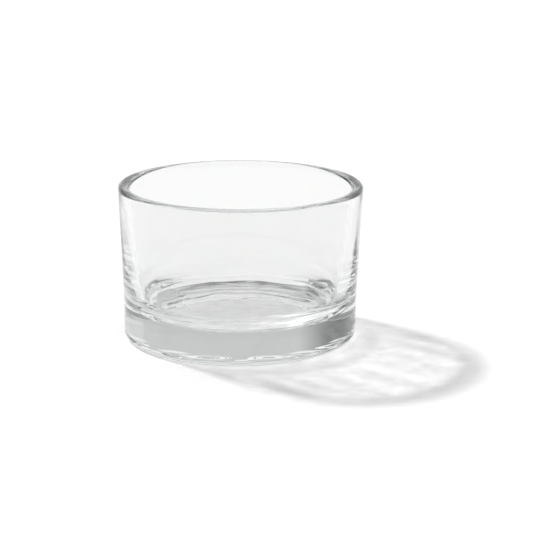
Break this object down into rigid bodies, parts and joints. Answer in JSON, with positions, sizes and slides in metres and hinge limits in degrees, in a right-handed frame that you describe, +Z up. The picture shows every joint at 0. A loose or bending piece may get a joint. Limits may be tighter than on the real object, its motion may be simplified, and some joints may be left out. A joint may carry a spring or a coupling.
{
  "type": "tealight holder",
  "caption": "Low round cup of clear pressed glass with a thick base, a slightly flared wall and a rounded rim, for holding a tealight candle.",
  "frame": {"origin": "centre of the underside, on the plane of the surface that the holder stands on", "axes": "+Z up along the axis that the glass is turned about; the holder is round, so +X and +Y are any two level directions"},
  "size_m": [0.06, 0.06, 0.038],
  "materials": {
    "clear_glass": "fire-polished, glossy and clear, with the faint waves of pressed glass"
  },
  "bodies": {
    "root": {"glass_cup": "clear_glass"}
  },
  "joints": []
}
